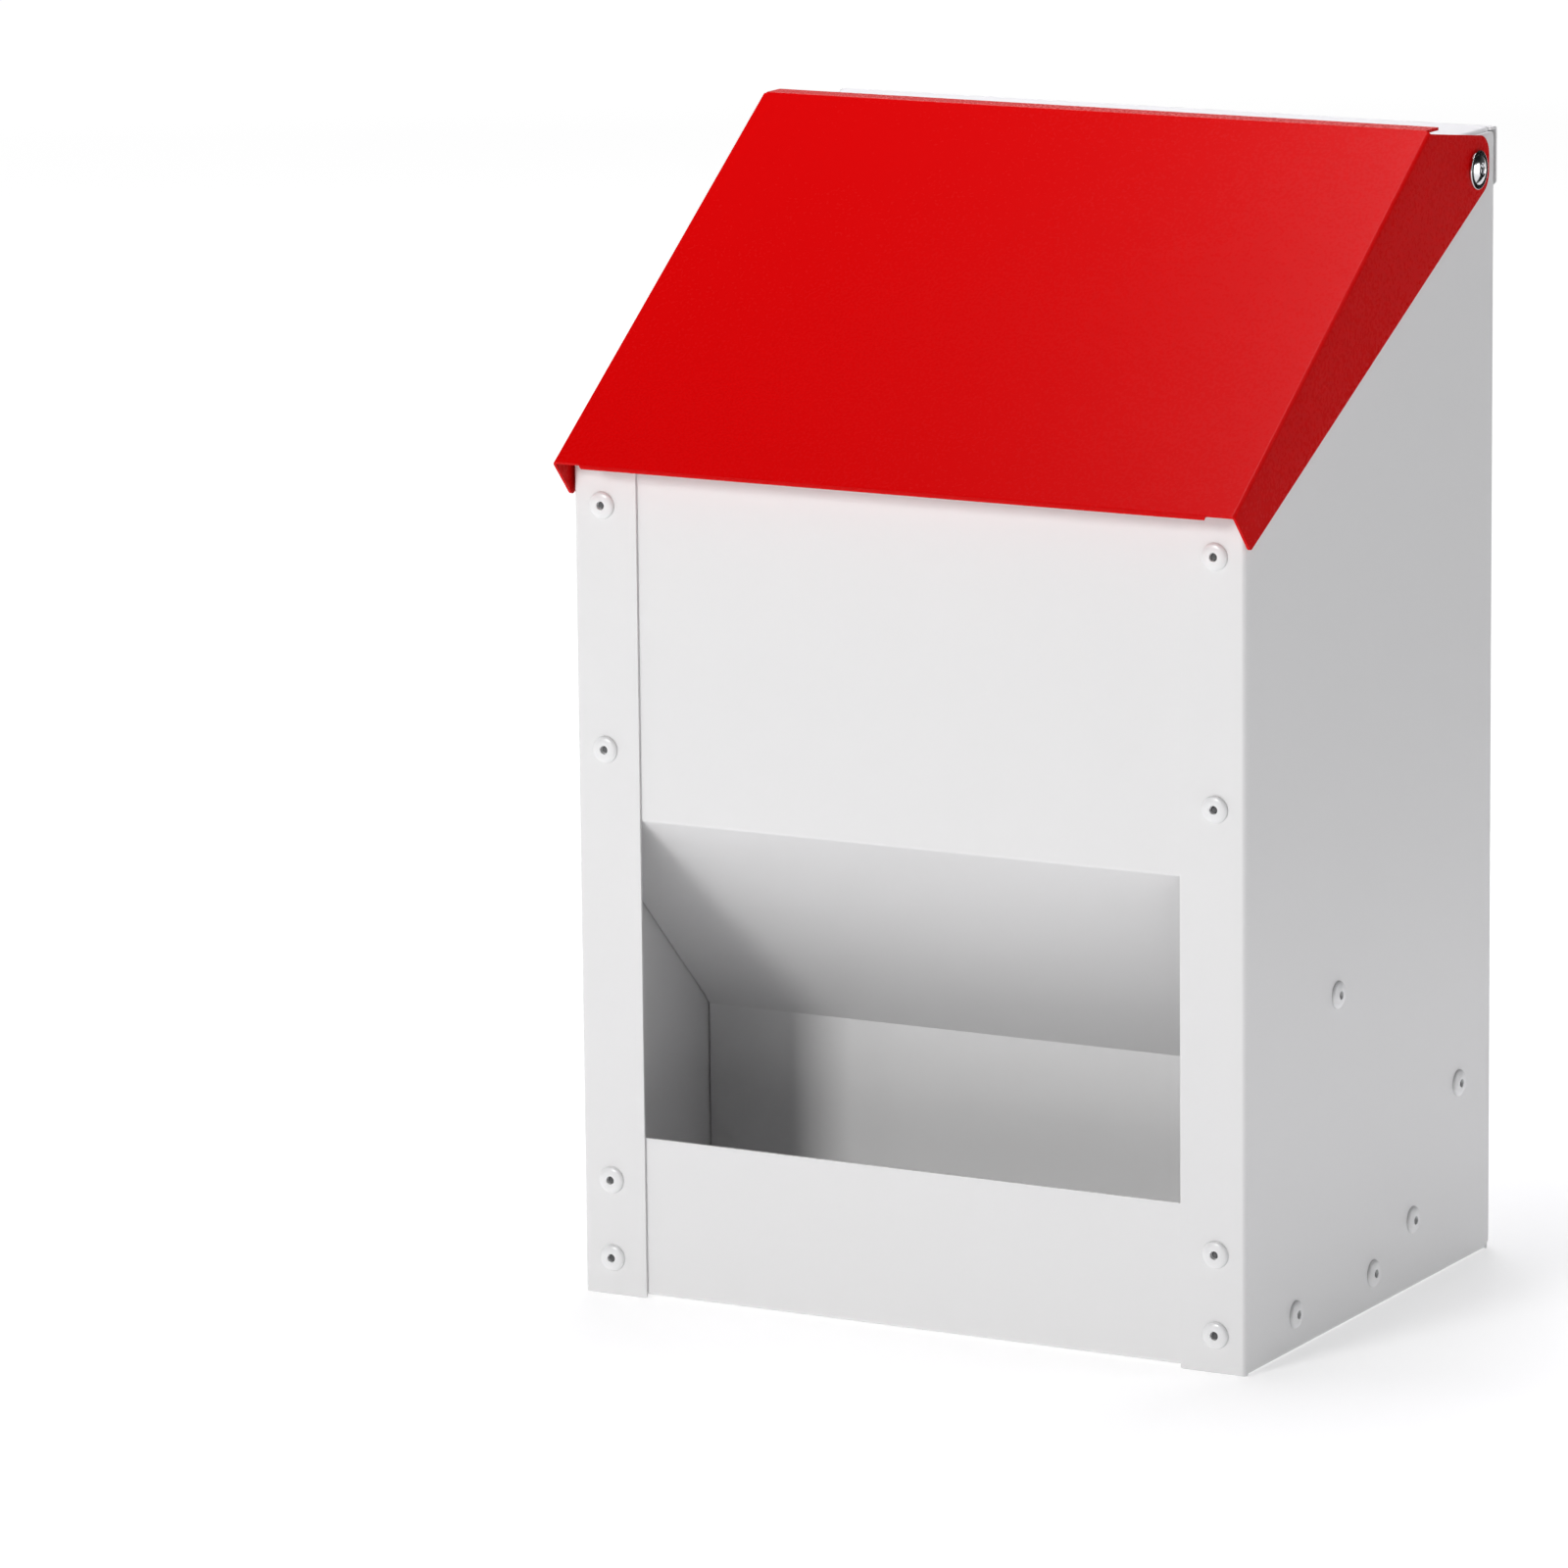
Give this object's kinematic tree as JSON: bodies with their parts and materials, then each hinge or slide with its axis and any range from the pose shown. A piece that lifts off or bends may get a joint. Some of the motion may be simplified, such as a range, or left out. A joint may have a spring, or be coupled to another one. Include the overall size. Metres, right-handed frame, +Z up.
{
  "type": "gravity poultry feeder",
  "caption": "Free-standing sheet-metal gravity feeder for poultry: a tall hopper under a sloping hinged lid, with a slanted baffle that lets feed down into an open front trough.",
  "frame": {"origin": "middle of the overall footprint, on the floor", "axes": "+X across the front to the right as seen from the front, +Y towards the rear, +Z up"},
  "size_m": [0.2628, 0.2092, 0.403],
  "materials": {
    "body_white": "white powder coat, semi-gloss",
    "rivet_white": "white painted rivet head, semi-gloss",
    "lid_red": "red powder coat, gloss",
    "bright_steel": "bright plated steel",
    "mandrel_steel": "broken grey steel"
  },
  "bodies": {
    "cabinet": {"back_panel": "body_white", "front_left_mandrels": "mandrel_steel", "front_left_rivets": "rivet_white", "front_panel": "body_white", "front_right_mandrels": "mandrel_steel", "front_right_rivets": "rivet_white", "left_lock_nut": "bright_steel", "left_pivot_screw": "bright_steel", "left_side_panel": "body_white", "rear_left_mandrels": "mandrel_steel", "rear_left_rivets": "rivet_white", "rear_right_mandrels": "mandrel_steel", "rear_right_rivets": "rivet_white", "right_lock_nut": "bright_steel", "right_pivot_screw": "bright_steel", "right_side_panel": "body_white", "side_left_mandrels": "mandrel_steel", "side_left_rivets": "rivet_white", "side_right_mandrels": "mandrel_steel", "side_right_rivets": "rivet_white", "top_cap": "body_white", "trough_pan": "body_white"},
    "lid": {"lid": "lid_red"}
  },
  "joints": [
    {"name": "lid_hinge", "type": "hinge", "parent": "cabinet", "child": "lid", "pos_m": [0, 0.0846, 0.385], "axis": [-1, 0, 0], "range_deg": [0, 202]}
  ]
}
